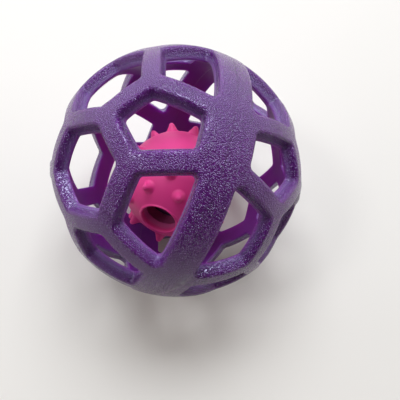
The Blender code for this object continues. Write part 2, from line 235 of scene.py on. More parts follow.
def tile_edge(corners, radius):
    """Points on the tile's edge, one per point of the hole's outline, and which lie on the joint."""
    count = len(corners)
    half = ARC_STEPS // 2
    edge = []
    jointed = []
    for i in range(count):
        here = crossing(*corners[i])
        before = crossing(*corners[i - 1])
        after = crossing(*corners[(i + 1) % count])
        foot = on_joint(math.atan2(here.y, here.x), radius)
        came_along = along_band(corners, i - 1)
        goes_along = along_band(corners, i)
        steps = steps_of(corners, i)
        for step in range(half):
            if came_along:
                spot = foot.normalized().lerp(here, step / half)
            else:
                spot = before.slerp(here, 1 - (half - step) / (ARC_STEPS + SIDE_STEPS))
            edge.append(foot if came_along and step == 0 else spot.normalized() * radius)
            jointed.append(came_along and step == 0)
        edge.append(here * radius)
        jointed.append(False)
        for step in range(1, half + 1):
            if goes_along:
                spot = here.lerp(foot.normalized(), step / half)
            else:
                spot = here.slerp(after, step / (ARC_STEPS + SIDE_STEPS))
            edge.append(foot if goes_along and step == half else spot.normalized() * radius)
            jointed.append(goes_along and step == half)
        for step in range(1, steps):
            if goes_along:
                start = math.atan2(here.y, here.x)
                sweep = (math.atan2(after.y, after.x) - start) % (2 * math.pi)
                edge.append(on_joint(start + sweep * step / steps, radius))
            else:
                edge.append(here.slerp(after, (half + step) / (ARC_STEPS + SIDE_STEPS)) * radius)
            jointed.append(goes_along)
    return edge, jointed


print("points on a tile's edge:", len(tile_edge(HEXAGON, OUTER_RADIUS)[0]))

# %% Cross section of a strut, from the outside over the soft edge to the inside
EDGE_ROUND = 1.2 * MM
BAND_EDGE_ROUND = 1.0 * MM
INNER_ROUND = 0.6 * MM
STRUT_DRAFT = math.radians(12.0)
EDGE_STEPS = 7
WALL_STEPS = 4


def wall_trim(radius):
    """How far the tapered wall has moved into the hole at this radius."""
    start_radius = OUTER_RADIUS - EDGE_ROUND + EDGE_ROUND * math.sin(STRUT_DRAFT)
    start_trim = -EDGE_ROUND + EDGE_ROUND * math.cos(STRUT_DRAFT)
    return start_trim + (start_radius - radius) * math.tan(STRUT_DRAFT)


def band_trim(radius):
    """The band's sides are flat and square to the pole, so only their roundings move them back."""
    over_edge = max(radius - (OUTER_RADIUS - BAND_EDGE_ROUND), 0.0)
    under_edge = max(CAVITY_RADIUS + INNER_ROUND - radius, 0.0)
    if over_edge > 0:
        return math.sqrt(max(BAND_EDGE_ROUND ** 2 - over_edge ** 2, 0.0)) - BAND_EDGE_ROUND
    return math.sqrt(max(INNER_ROUND ** 2 - under_edge ** 2, 0.0)) - INNER_ROUND


def section():
    """A strut's cross section as (radius, trim) pairs, from the outside in."""
    pairs = []
    for step in range(EDGE_STEPS + 1):
        angle = math.pi / 2 + (STRUT_DRAFT - math.pi / 2) * step / EDGE_STEPS
        radius = OUTER_RADIUS - EDGE_ROUND + EDGE_ROUND * math.sin(angle)
        pairs.append((radius, -EDGE_ROUND + EDGE_ROUND * math.cos(angle)))
    hub_radius = CAVITY_RADIUS + INNER_ROUND
    touch = hub_radius + INNER_ROUND * math.sin(STRUT_DRAFT)
    hub_trim = wall_trim(touch) - INNER_ROUND * math.cos(STRUT_DRAFT)
    start = pairs[-1][0]
    for step in range(1, WALL_STEPS):
        radius = start + (touch - start) * step / WALL_STEPS
        pairs.append((radius, wall_trim(radius)))
    for step in range(EDGE_STEPS + 1):
        angle = -STRUT_DRAFT + (math.pi / 2 + STRUT_DRAFT) * step / EDGE_STEPS
        radius = hub_radius - INNER_ROUND * math.sin(angle)
        pairs.append((radius, hub_trim + INNER_ROUND * math.cos(angle)))
    return pairs


print("points across a strut's wall:", len(section()))

# %% Rows and faces of a tile
SEAM_ROUND = 0.01 * MM
# shares of the way from the tile's edge to the hole where the skin has a row of points
SKIN_SHARES = (0.0, 0.035, 0.2, 0.4, 0.6, 0.8)


def tile_rows(corners):
    """All rows of a tile, and which columns lie on the joint."""
    pairs = section()
    outlines = [hole_outline(corners, radius, trim, band_trim(radius)) for radius, trim in pairs]
    outer_edge, jointed = tile_edge(corners, OUTER_RADIUS)
    inner_edge, _ = tile_edge(corners, CAVITY_RADIUS)
    rows = []
    for share in SKIN_SHARES:
        row = []
        for edge, rim, joint in zip(outer_edge, outlines[0], jointed):
            radius = OUTER_RADIUS - (SEAM_ROUND if joint and share == 0.0 else 0.0)
            row.append(edge.lerp(rim, share).normalized() * radius)
        rows.append(row)
    rows += outlines
    for share in reversed(SKIN_SHARES):
        rows.append([edge.lerp(rim, share).normalized() * CAVITY_RADIUS
                     for edge, rim in zip(inner_edge, outlines[-1])])
    return rows, jointed


def add_tile(bm, corners, columns=None):
    """Add a tile, or only some of its columns, to a mesh."""
    rows, jointed = tile_rows(corners)
    width = len(jointed)
    chosen = list(range(width)) + [0] if columns is None else columns
    grid = [{c: bm.verts.new(row[c]) for c in dict.fromkeys(chosen)} for row in rows]
    for upper, lower in zip(grid, grid[1:]):
        for a, b in zip(chosen, chosen[1:]):
            bm.faces.new((upper[a], upper[b], lower[b], lower[a]))
    for a, b in zip(chosen, chosen[1:]):
        if jointed[a] and jointed[b]:
            bm.faces.new((grid[0][b], grid[0][a], grid[-1][a], grid[-1][b]))


print("rows in a tile:", len(tile_rows(HEXAGON)[0]))

# %% [markdown]
# ## Repeating a sector round the pole
#
# The net repeats five times, so only one sector is built: a hexagon, a pentagon, an opening and a
# fifth of the pole's pentagon. A Geometry Nodes tree turns copies of it about the pole and welds
# them. A modifier with an Array and an empty would do the same, but the tree keeps the count and
# the weld as named inputs.

# %% Helpers for node trees
def add_node(tree, kind, **values):
    """Add a node and set its unlinked inputs by name."""
    node = tree.nodes.new(kind)
    for name, value in values.items():
        node.inputs[name.replace("_", " ")].default_value = value
    return node


def wire(tree, source, target):
    """Link two sockets."""
    tree.links.new(source, target)


def new_shape_tree(name, inputs):
    """A Geometry Nodes tree with named inputs and one geometry output."""
    tree = bpy.data.node_groups.new(name, "GeometryNodeTree")
    tree.interface.new_socket("Geometry", in_out="INPUT", socket_type="NodeSocketGeometry")
    for label, kind in inputs:
        tree.interface.new_socket(label, in_out="INPUT", socket_type=kind)
    tree.interface.new_socket("Geometry", in_out="OUTPUT", socket_type="NodeSocketGeometry")
    return tree, tree.nodes.new("NodeGroupInput"), tree.nodes.new("NodeGroupOutput")


def run_tree(name, mesh, tree, values):
    """Run a tree on a mesh and return the result as a plain mesh."""
    carrier = bpy.data.objects.new(name, mesh)
    bpy.context.scene.collection.objects.link(carrier)
    modifier = carrier.modifiers.new(tree.name, "NODES")
    modifier.node_group = tree
    for item in tree.interface.items_tree:
        if item.in_out == "INPUT" and item.name in values:
            modifier[item.identifier] = values[item.name]
    view = bpy.context.evaluated_depsgraph_get()
    result = bpy.data.meshes.new_from_object(carrier.evaluated_get(view))
    bpy.data.objects.remove(carrier)
    result.name = name
    return result


print("tree helpers ready")

# %% Tree that turns copies round the pole
def build_turning_tree():
    """Copies of the sector, turned about Z and welded."""
    tree, start, end = new_shape_tree("turn_round_pole", [
        ("Copies", "NodeSocketInt"), ("Weld", "NodeSocketFloat"), ("Finish", "NodeSocketMaterial")])
    points = add_node(tree, "GeometryNodePoints")
    index = add_node(tree, "GeometryNodeInputIndex")
    share = add_node(tree, "ShaderNodeMath")
    share.operation = "DIVIDE"
    share.inputs[0].default_value = 2 * math.pi
    turn = add_node(tree, "ShaderNodeMath")
    turn.operation = "MULTIPLY"
    angles = add_node(tree, "ShaderNodeCombineXYZ")
    euler = add_node(tree, "FunctionNodeEulerToRotation")
    copies = add_node(tree, "GeometryNodeInstanceOnPoints")
    weld = add_node(tree, "GeometryNodeMergeByDistance")
    smooth = add_node(tree, "GeometryNodeSetShadeSmooth")
    real = add_node(tree, "GeometryNodeRealizeInstances")
    finish = add_node(tree, "GeometryNodeSetMaterial")
    wire(tree, start.outputs["Copies"], points.inputs["Count"])
    wire(tree, start.outputs["Copies"], share.inputs[1])
    wire(tree, index.outputs["Index"], turn.inputs[0])
    wire(tree, share.outputs[0], turn.inputs[1])
    wire(tree, turn.outputs[0], angles.inputs["Z"])
    wire(tree, angles.outputs[0], euler.inputs["Euler"])
    wire(tree, points.outputs[0], copies.inputs["Points"])
    wire(tree, start.outputs["Geometry"], copies.inputs["Instance"])
    wire(tree, euler.outputs[0], copies.inputs["Rotation"])
    wire(tree, copies.outputs[0], real.inputs[0])
    wire(tree, real.outputs[0], weld.inputs["Geometry"])
    wire(tree, start.outputs["Weld"], weld.inputs["Distance"])
    wire(tree, weld.outputs[0], smooth.inputs["Geometry"])
    wire(tree, smooth.outputs[0], finish.inputs["Geometry"])
    wire(tree, start.outputs["Finish"], finish.inputs["Material"])
    wire(tree, finish.outputs[0], end.inputs[0])
    return tree


turning_tree = build_turning_tree()
print("tree:", turning_tree.name)

# %% [markdown]
# ## Shared surface effects
#
# Two effects appear on more than one material, so they are node groups. Moulded grain is the fine
# leathery texture that an etched mould leaves. Mottle is the slow change of tone that any moulded
# piece shows. Both could be painted images, but noise on Object coordinates needs no unwrapping and
# keeps its real size.

# %% Helpers for materials
def new_finish(name):
    """A material with its tree, its shader and Object coordinates."""
    material = bpy.data.materials.new(name)
    material.use_nodes = True
    tree = material.node_tree
    place = tree.nodes.new("ShaderNodeTexCoord")
    return material, tree, tree.nodes["Principled BSDF"], place.outputs["Object"]


def use_group(tree, group, vector, **values):
    """Place a shared effect in a material."""
    node = tree.nodes.new("ShaderNodeGroup")
    node.node_tree = group
    wire(tree, vector, node.inputs["Vector"])
    for name, value in values.items():
        node.inputs[name.replace("_", " ")].default_value = value
    return node


def mix_colours(tree, share, first, second):
    """Blend two colours, each a socket or a plain colour."""
    node = tree.nodes.new("ShaderNodeMix")
    node.data_type = "RGBA"
    wire(tree, share, node.inputs["Factor"])
    for socket, value in ((node.inputs["A"], first), (node.inputs["B"], second)):
        if isinstance(value, tuple):
            socket.default_value = (*value, 1.0)
        else:
            wire(tree, value, socket)
    return node.outputs["Result"]


print("material helpers ready")

# %% Helpers for masks
def number(tree, operation, first, second):
    """A maths node on two values, each a socket or a plain number."""
    node = tree.nodes.new("ShaderNodeMath")
    node.operation = operation
    for socket, value in zip(node.inputs, (first, second)):
        if isinstance(value, (int, float)):
            socket.default_value = value
        else:
            wire(tree, value, socket)
    return node.outputs[0]


def measure(tree, operation, vector, fixed):
    """A distance from a fixed point, or a dot product with a fixed axis."""
    node = tree.nodes.new("ShaderNodeVectorMath")
    node.operation = operation
    wire(tree, vector, node.inputs[0])
    node.inputs[1].default_value = fixed
    return node.outputs["Value"]


def between(tree, value, low, high, to_low=0.0, to_high=1.0):
    """Map a range of a value onto another range, clamped."""
    node = tree.nodes.new("ShaderNodeMapRange")
    node.interpolation_type = "SMOOTHSTEP"
    wire(tree, value, node.inputs["Value"])
    node.inputs["From Min"].default_value = low
    node.inputs["From Max"].default_value = high
    node.inputs["To Min"].default_value = to_low
    node.inputs["To Max"].default_value = to_high
    return node.outputs[0]


def add_bump(tree, height, strength, distance, shader):
    """Let a height roughen the look of a surface."""
    bump = tree.nodes.new("ShaderNodeBump")
    bump.inputs["Strength"].default_value = strength
    bump.inputs["Distance"].default_value = distance
    wire(tree, height, bump.inputs["Height"])
    wire(tree, bump.outputs[0], shader.inputs["Normal"])


print("mask helpers ready")

# %% Group: moulded grain
def new_effect(name, inputs, outputs):
    """An empty shader group with named float or vector sockets."""
    tree = bpy.data.node_groups.new(name, "ShaderNodeTree")
    for label, kind in inputs:
        tree.interface.new_socket(label, in_out="INPUT", socket_type=kind)
    for label, kind in outputs:
        tree.interface.new_socket(label, in_out="OUTPUT", socket_type=kind)
    return tree, tree.nodes.new("NodeGroupInput"), tree.nodes.new("NodeGroupOutput")


def build_grain_group():
    """Low uneven pebbles, as on leather: a height, and a mask of the few that stand highest."""
    tree, start, end = new_effect(
        "moulded_grain",
        [("Vector", "NodeSocketVector"), ("Pebbles per metre", "NodeSocketFloat")],
        [("Height", "NodeSocketFloat"), ("Tops", "NodeSocketFloat")])
    cells = add_node(tree, "ShaderNodeTexVoronoi", Randomness=1.0)
    wire(tree, start.outputs["Vector"], cells.inputs["Vector"])
    wire(tree, start.outputs["Pebbles per metre"], cells.inputs["Scale"])
    wrinkles = add_node(tree, "ShaderNodeTexNoise", Detail=1.0, Roughness=0.6)
    wire(tree, start.outputs["Vector"], wrinkles.inputs["Vector"])
    wire(tree, start.outputs["Pebbles per metre"], wrinkles.inputs["Scale"])
    dome = between(tree, cells.outputs["Distance"], 0.75, 0.0)
    uneven = between(tree, wrinkles.outputs["Fac"], 0.3, 0.7, to_low=0.5, to_high=1.0)
    height = number(tree, "MULTIPLY", dome, uneven)
    wire(tree, height, end.inputs["Height"])
    wire(tree, between(tree, height, 0.35, 0.85), end.inputs["Tops"])
    return tree


grain_group = build_grain_group()
print("group:", grain_group.name)

# %% Group: mottle
def build_mottle_group():
    """A slow soft change of tone between nought and one."""
    tree, start, end = new_effect(
        "mottle",
        [("Vector", "NodeSocketVector"), ("Patches per metre", "NodeSocketFloat")],
        [("Tone", "NodeSocketFloat")])
    cloud = add_node(tree, "ShaderNodeTexNoise", Detail=3.0, Roughness=0.55)
    spread = add_node(tree, "ShaderNodeMapRange")
    spread.inputs["From Min"].default_value = 0.3
    spread.inputs["From Max"].default_value = 0.7
    wire(tree, start.outputs["Vector"], cloud.inputs["Vector"])
    wire(tree, start.outputs["Patches per metre"], cloud.inputs["Scale"])
    wire(tree, cloud.outputs["Fac"], spread.inputs["Value"])
    wire(tree, spread.outputs[0], end.inputs["Tone"])
    return tree


mottle_group = build_mottle_group()
print("group:", mottle_group.name)

# %% [markdown]
# ## Purple rubber
#
# The rubber copies a pebbled mould, and the grain glitters where it catches the light. It runs down
# the walls of the holes and stops at the inner edge, because the core that makes the hollow is
# polished steel. The lilac on the highest pebbles is partly the grain's own tone and partly a
# painted glint. The skin is darkest. The walls are painted paler and greyer, a painted sheen, and the
# inside is painted redder, a painted glow for the light that comes through the rubber. Three
# materials would show hard lines where they meet, so one material blends the looks by the distance
# from the ball's centre.

# %% A rub mark on the rubber
roll_joint = next(joint for joint in frame["joints"] if joint["name"] == "inner_ball_roll")
CAGE_CENTRE = Vector(roll_joint["pos_m"])
RUB_START = on_sphere(math.radians(60.0), math.radians(-71.5))
RUB_END = on_sphere(math.radians(81.0), math.radians(-84.0))
RUB_HALF_WIDTH = 1.7 * MM
RUB_CORE = 0.1 * MM
RUB_REACH = 11.0 * MM
RUB_WHOLE = 5.0 * MM


def rub_mask(tree, place):
    """A short soft rub mark low on the front of the band."""
    axis = RUB_START.cross(RUB_END).normalized()
    middle = CAGE_CENTRE + (RUB_START + RUB_END).normalized() * OUTER_RADIUS
    side = number(tree, "SUBTRACT", measure(tree, "DOT_PRODUCT", place, axis), CAGE_CENTRE.dot(axis))
    narrow = between(tree, number(tree, "ABSOLUTE", side, 0.0), RUB_HALF_WIDTH, RUB_CORE)
    short = between(tree, measure(tree, "DISTANCE", place, middle), RUB_REACH, RUB_WHOLE)
    rubbed = use_group(tree, mottle_group, place, Patches_per_metre=220.0)
    patchy = between(tree, rubbed.outputs["Tone"], 0.1, 0.9, to_low=0.45, to_high=0.75)
    return number(tree, "MULTIPLY", number(tree, "MULTIPLY", narrow, short), patchy)


print("rub mark:", round(2 * RUB_REACH / MM, 1), "mm long")

# %% Purple rubber finish
# depths under the outer skin at which one look of the rubber gives way to the next
SKIN_DEPTH = 1.4 * MM
SKIN_END = 3.2 * MM
INSIDE_START = 3.0 * MM
GRAIN_DEPTH = 3.5 * MM
GRAIN_END = 4.3 * MM
GLOSS_DEPTH = 1.5 * MM
GLOSS_END = 3.5 * MM
GRAIN_HEIGHT = 0.24 * MM
SKIN_DARK = (0.068, 0.004, 0.110)
SKIN_PALE = (0.092, 0.006, 0.142)
# the walls' paler, greyer tones are a painted sheen, a painted haze on the walls of the holes
WALL_SHEEN_DARK = (0.125, 0.060, 0.204)
WALL_SHEEN_PALE = (0.150, 0.072, 0.236)
# the inside's redder, brighter tone is a painted glow for the light that comes through the rubber
INSIDE_GLOW_PURPLE = (0.150, 0.026, 0.240)
# the lilac on the highest pebbles is partly the grain's own tone and partly a painted glint
PEBBLE_GLINT_LILAC = (0.20, 0.065, 0.34)
RUBBED_GREY = (0.27, 0.21, 0.28)


def by_depth(tree, radius, start, end, at_start=0.0, at_end=1.0):
    """A value that changes from one depth under the outer skin to another."""
    return between(tree, radius, OUTER_RADIUS - start, OUTER_RADIUS - end, at_start, at_end)


def purple_rubber():
    """Dark grained skin with pebble tops partly a painted glint, walls painted paler as a painted
    sheen, and a smooth inside painted redder as a painted glow; a little light is let through.
    """
    material, tree, shader, place = new_finish("purple_rubber")
    radius = measure(tree, "DISTANCE", place, CAGE_CENTRE)
    outside = by_depth(tree, radius, SKIN_END, SKIN_DEPTH)
    inside = by_depth(tree, radius, INSIDE_START, WALL)
    grained = by_depth(tree, radius, GRAIN_END, GRAIN_DEPTH)
    grain = use_group(tree, grain_group, place, Pebbles_per_metre=2350.0)
    mottle = use_group(tree, mottle_group, place, Patches_per_metre=60.0)

    # painted sheen: the walls are painted paler and greyer than the skin
    walls = mix_colours(tree, mottle.outputs["Tone"], WALL_SHEEN_DARK, WALL_SHEEN_PALE)
    # painted glow: the inside is painted redder, for light that comes through the rubber
    depths = mix_colours(tree, inside, walls, INSIDE_GLOW_PURPLE)
    skin = mix_colours(tree, mottle.outputs["Tone"], SKIN_DARK, SKIN_PALE)
    body = mix_colours(tree, outside, depths, skin)
    tops = number(tree, "MULTIPLY", grain.outputs["Tops"], grained)
    # painted glint: lilac on the highest pebbles, partly the grain's own tone
    clean = mix_colours(tree, tops, body, PEBBLE_GLINT_LILAC)
    rub = rub_mask(tree, place)
    wire(tree, mix_colours(tree, rub, clean, RUBBED_GREY), shader.inputs["Base Color"])

    shader.inputs["Subsurface Weight"].default_value = 0.6
    shader.inputs["Subsurface Radius"].default_value = (1.25, 0.12, 1.2)
    shader.inputs["Subsurface Scale"].default_value = 8.0 * MM
    shader.inputs["Specular IOR Level"].default_value = 0.95
    shader.inputs["Specular Tint"].default_value = (0.76, 0.72, 1.0, 1.0)
    gloss = by_depth(tree, radius, GLOSS_END, GLOSS_DEPTH, at_start=0.35, at_end=0.13)
    dulled = number(tree, "MULTIPLY", rub, 0.5)
    wire(tree, number(tree, "MAXIMUM", gloss, dulled), shader.inputs["Roughness"])
    height = number(tree, "MULTIPLY", grain.outputs["Height"], grained)
    add_bump(tree, height, 1.0, GRAIN_HEIGHT, shader)
    return material


rubber = purple_rubber()
print("finish:", rubber.name)

# %% [markdown]
# ## The two cage halves
#
# The sector is built once, repeated round the pole, and then placed twice. The right half is the
# same moulding turned face to face with the left one. A mirrored copy would look the same, but a
# mirror turns faces inside out. The ball stands on the opening beside the band, so the halves' pole
# leans, and the lowest edges are pressed flat on the floor.

# %% How the ball stands
def standing_lean():
    """Angle between the right pole and straight down."""
    solid_edge = 0.5 * MM
    band_edge = math.acos((BAND_AT_OPENING - solid_edge) / OUTER_RADIUS)
    half_gap = SECTOR / 2 - SIDE_SPREAD
    strut_middle = math.atan2(math.sin(SIDE_ANGLE) * math.cos(half_gap), math.cos(SIDE_ANGLE))
    strut_edge = strut_middle + math.asin((STRUT_HALF - solid_edge) / OUTER_RADIUS)
    return (band_edge + strut_edge) / 2


cage_place = Matrix.Translation(CAGE_CENTRE) @ Matrix.Rotation(-standing_lean(), 4, "Y")
print("lean of the pole:", round(math.degrees(standing_lean()), 2), "degrees")

# %% One sector
def sector_mesh():
    """A hexagon, a pentagon, an opening and a fifth of the pole's pentagon."""
    bm = bmesh.new()
    for corners in (HEXAGON, PENTAGON, OPENING):
        add_tile(bm, corners)
    half = ARC_STEPS // 2
    slice_of_pole = list(range(half, half + ARC_STEPS + SIDE_STEPS + 1))
    add_tile(bm, POLE, slice_of_pole)
    mesh = bpy.data.meshes.new("sector")
    bm.to_mesh(mesh)
    bm.free()
    return mesh


sector = sector_mesh()
print("sector:", len(sector.polygons), "faces")

# %% Hand a finished mesh to its body
def finish_piece(name, mesh, place, body, node):
    """Put a mesh in its place, press its lowest points flat, and let it stand for a solid."""
    mesh.transform(place)
    bm = bmesh.new()
    bm.from_mesh(mesh)
    for vert in bm.verts:
        vert.co.z = max(vert.co.z, 0.0)
    bmesh.ops.recalc_face_normals(bm, faces=bm.faces)
    open_edges = sum(1 for edge in bm.edges if not edge.is_manifold)
    bm.to_mesh(mesh)
    bm.free()
    mesh.shade_smooth()
    piece = bpy.data.objects.new(name, mesh)
    bpy.context.scene.collection.objects.link(piece)
    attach(piece, body)
    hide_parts(node)
    print(name, len(mesh.polygons), "faces,", open_edges, "open edges")


print("pieces can now be placed")

# %% Both halves
WELD_DISTANCE = 0.002 * MM


def cage_half(name, node, place):
    """The sector, repeated round the pole and put in its place."""
    values = {"Copies": SECTORS, "Weld": WELD_DISTANCE, "Finish": rubber}
    mesh = run_tree(name, sector, turning_tree, values)
    finish_piece(name, mesh, place, "cage", node)


cage_half("left_lattice_half", "left_cage_half", cage_place)
cage_half("right_lattice_half", "right_cage_half", cage_place @ Matrix.Rotation(math.pi, 4, "X"))

# %% [markdown]
# ## The squeaker ball
#
# The inner ball is soft vinyl with a round mouth. Its body is a turned shape, so a profile is spun
# about the mouth's axis. The nubs are one small turned shape with a flared foot that meets the ball
# smoothly. They stand in rows round the mouth, so a tree places a copy at each point of a small
# mesh of their feet.

# %% Turned shapes
def turned_mesh(name, profile, steps):
    """Spin (radius, height) points about Z. The profile starts and ends on the axis."""
    bm = bmesh.new()
    rings = []
    for radius, height in profile:
        if radius == 0.0:
            rings.append([bm.verts.new((0, 0, height))] * steps)
            continue
        ring = []
        for step in range(steps):
            angle = 2 * math.pi * step / steps
            ring.append(bm.verts.new((radius * math.cos(angle), radius * math.sin(angle), height)))
        rings.append(ring)
    for upper, lower in zip(rings, rings[1:]):
        for step in range(steps):
            after = (step + 1) % steps
            corners = dict.fromkeys((upper[step], lower[step], lower[after], upper[after]))
            bm.faces.new(list(corners))
    bmesh.ops.recalc_face_normals(bm, faces=bm.faces)
    mesh = bpy.data.meshes.new(name)
    bm.to_mesh(mesh)
    bm.free()
    return mesh


def arc_points(centre, radius, start, end, steps):
    """Points on an arc of a profile, as (radius, height) pairs. The angles are in degrees."""
    points = []
    for step in range(steps + 1):
        angle = math.radians(start + (end - start) * step / steps)
        points.append((centre[0] + radius * math.cos(angle), centre[1] + radius * math.sin(angle)))
    return points


print("turning helpers ready")

# %% Sizes of the squeaker ball
BALL_RADIUS = 21.4 * MM
BALL_WALL = 2.2 * MM
MOUTH_RADIUS = 6.7 * MM
MOUTH_LIP = 0.6 * MM
MOUTH_DEPTH = 4.5 * MM
NECK_BORE = MOUTH_RADIUS + 0.8 * MM
NECK_WALL = 1.6 * MM
SEAT_LEDGE = 1.3 * MM
SEAT_THICKNESS = 1.5 * MM
SQUEAKER_DEPTH = 9.0 * MM
CAP_THICKNESS = 1.2 * MM
CASE_LENGTH = 10.0 * MM
FIT = 0.3 * MM
MOUTH_PLANE = math.sqrt(BALL_RADIUS ** 2 - (MOUTH_RADIUS + MOUTH_LIP) ** 2)
CAP_TOP = MOUTH_PLANE - SQUEAKER_DEPTH
CAP_UNDERSIDE = CAP_TOP - CAP_THICKNESS
CASE_TOP = CAP_UNDERSIDE - FIT
CASE_BOTTOM = CASE_TOP - CASE_LENGTH
SEAT_TOP = CASE_BOTTOM - FIT
print("squeaker cap:", round(SQUEAKER_DEPTH / MM, 1), "mm below the mouth")

# %% Body of the squeaker ball, mouth on +Z
BALL_STEPS = 128
OUTSIDE_STEPS = 64
INSIDE_STEPS = 40
LIP_STEPS = 8
THROAT_STEPS = 4
LIP_ROUND = 0.9 * MOUTH_LIP
LIP_SINK = 0.7 * LIP_ROUND
THROAT_ROUND = 0.4 * MM


def ball_profile():
    """Half outline of the ball's wall: the outside, the mouth, the neck with its seat, the hollow."""
    hollow = BALL_RADIUS - BALL_WALL
    neck = NECK_BORE + NECK_WALL
    seat = NECK_BORE - SEAT_LEDGE
    lip_angle = 90 - math.degrees(math.asin((MOUTH_RADIUS + MOUTH_LIP) / BALL_RADIUS))
    profile = arc_points((0, 0), BALL_RADIUS, -90, lip_angle, OUTSIDE_STEPS)
    profile[0] = (0.0, -BALL_RADIUS)
    lip_hub = (MOUTH_RADIUS + LIP_ROUND, MOUTH_PLANE - LIP_SINK)
    profile += arc_points(lip_hub, LIP_ROUND, 66, 180, LIP_STEPS)
    chamber = MOUTH_PLANE - MOUTH_DEPTH
    throat_hub = (MOUTH_RADIUS + THROAT_ROUND, chamber + THROAT_ROUND)
    profile += arc_points(throat_hub, THROAT_ROUND, 180, 270, THROAT_STEPS)
    seat_bottom = SEAT_TOP - SEAT_THICKNESS
    profile += [(NECK_BORE, chamber), (NECK_BORE, SEAT_TOP)]
    profile += [(seat, SEAT_TOP), (seat, seat_bottom), (neck, seat_bottom)]
    neck_angle = math.degrees(math.acos(neck / hollow))
    inside = arc_points((0, 0), hollow, neck_angle, -90, INSIDE_STEPS)
    inside[-1] = (0.0, -hollow)
    return profile + inside


ball_body = turned_mesh("ball_body", ball_profile(), BALL_STEPS)
print("ball body:", len(ball_body.polygons), "faces")

# %% One nub
NUB_HEIGHT = 3.2 * MM
NUB_RADIUS = 2.3 * MM
NUB_TIP_ROUND = 1.15 * MM
NUB_SIDE_END = (0.78 * NUB_RADIUS, 0.28 * NUB_HEIGHT)
NUB_FOOT_RADIUS = 1.25 * NUB_RADIUS
NUB_FLARE = 2.2
NUB_SINK = 0.03 * MM
NUB_STEPS = 28
NUB_ARC_STEPS = 8


def nub_profile():
    """Half outline of a nub: a domed tip, a tapered side and a flared foot that hugs the ball."""
    tip = arc_points((0, NUB_HEIGHT - NUB_TIP_ROUND), NUB_TIP_ROUND, 90, 18, NUB_ARC_STEPS)
    tip[0] = (0.0, NUB_HEIGHT)
    side_radius, side_height = NUB_SIDE_END
    foot = []
    for step in range(NUB_ARC_STEPS + 1):
        share = step / NUB_ARC_STEPS
        radius = side_radius + (NUB_FOOT_RADIUS - side_radius) * share
        foot.append((radius, side_height * (1 - share) ** NUB_FLARE))
    bent = []
    for radius, height in tip + foot:
        fall = BALL_RADIUS - math.sqrt(BALL_RADIUS ** 2 - radius ** 2)
        bent.append((radius, height - fall))
    # the last ring sinks just under the ball's surface
    bent[-1] = (bent[-1][0], bent[-1][1] - NUB_SINK)
    return bent + [(0.0, -0.5 * BALL_WALL)]


nub_mesh = turned_mesh("nub", nub_profile(), NUB_STEPS)
print("nub:", len(nub_mesh.polygons), "faces")

# %% Places where nubs stand
NUB_ROWS = (
    # angle from the mouth, nubs in the row, turn of the first one
    (math.radians(38.5), 7, math.radians(72.0)),
    (math.radians(56.0), 8, math.radians(95.0)),
    (math.radians(79.0), 7, math.radians(89.0)),
    (math.radians(124.0), 12, math.radians(124.0)),
    (math.radians(152.0), 6, math.radians(109.0)),
)


def nub_places():
    """One vertex at each nub's foot, on the ball's surface."""
    feet = []
    for polar, count, turn in NUB_ROWS:
        feet += [on_sphere(polar, turn + 2 * math.pi * k / count) * BALL_RADIUS for k in range(count)]
    mesh = bpy.data.meshes.new("nub_places")
    mesh.from_pydata(feet, [], [])
    return mesh


places_mesh = nub_places()
print("nubs:", len(places_mesh.vertices))

# %% Tree that sets a nub on every place
def build_nub_tree():
    """The ball's body with a copy of the nub standing outward on every place."""
    tree, start, end = new_shape_tree("nubs_on_ball", [
        ("Nub", "NodeSocketObject"), ("Places", "NodeSocketObject"), ("Finish", "NodeSocketMaterial")])
    nub = add_node(tree, "GeometryNodeObjectInfo")
    places = add_node(tree, "GeometryNodeObjectInfo")
    spot = add_node(tree, "GeometryNodeInputPosition")
    outward = add_node(tree, "FunctionNodeAlignRotationToVector")
    outward.axis = "Z"
    copies = add_node(tree, "GeometryNodeInstanceOnPoints")
    join = add_node(tree, "GeometryNodeJoinGeometry")
    smooth = add_node(tree, "GeometryNodeSetShadeSmooth")
    real = add_node(tree, "GeometryNodeRealizeInstances")
    finish = add_node(tree, "GeometryNodeSetMaterial")
    wire(tree, start.outputs["Nub"], nub.inputs["Object"])
    wire(tree, start.outputs["Places"], places.inputs["Object"])
    wire(tree, spot.outputs[0], outward.inputs["Vector"])
    wire(tree, places.outputs["Geometry"], copies.inputs["Points"])
    wire(tree, nub.outputs["Geometry"], copies.inputs["Instance"])
    wire(tree, outward.outputs[0], copies.inputs["Rotation"])
    wire(tree, start.outputs["Geometry"], join.inputs[0])
    wire(tree, copies.outputs[0], join.inputs[0])
    wire(tree, join.outputs[0], smooth.inputs["Geometry"])
    wire(tree, smooth.outputs[0], real.inputs[0])
    wire(tree, real.outputs[0], finish.inputs["Geometry"])
    wire(tree, start.outputs["Finish"], finish.inputs["Material"])
    wire(tree, finish.outputs[0], end.inputs[0])
    return tree


nub_tree = build_nub_tree()
print("tree:", nub_tree.name)

# %% [markdown]
# ## Pink vinyl
#
# The vinyl is matte and even, with only a trace of grain. Inside the mouth the vinyl is painted
# paler, a painted bounce light for the light that goes round in the throat. A second material on
# the throat's faces would give it a hard edge, so the distance from the ball's centre blends the two
# tones instead.

# %% Pink vinyl finish
NUB_PLAY = 0.4 * MM
BALL_DROP = CAVITY_RADIUS - BALL_RADIUS - NUB_HEIGHT - NUB_PLAY
BALL_CENTRE = CAGE_CENTRE - Vector((0, 0, BALL_DROP))
THROAT_START = BALL_RADIUS - 0.8 * MM
THROAT_WHOLE = BALL_RADIUS - 3.0 * MM
VINYL_DARK = (0.90, 0.046, 0.275)
VINYL_PALE = (0.95, 0.058, 0.315)
# the throat's paler pink is painted bounce light
THROAT_BOUNCE_PINK = (0.84, 0.15, 0.42)


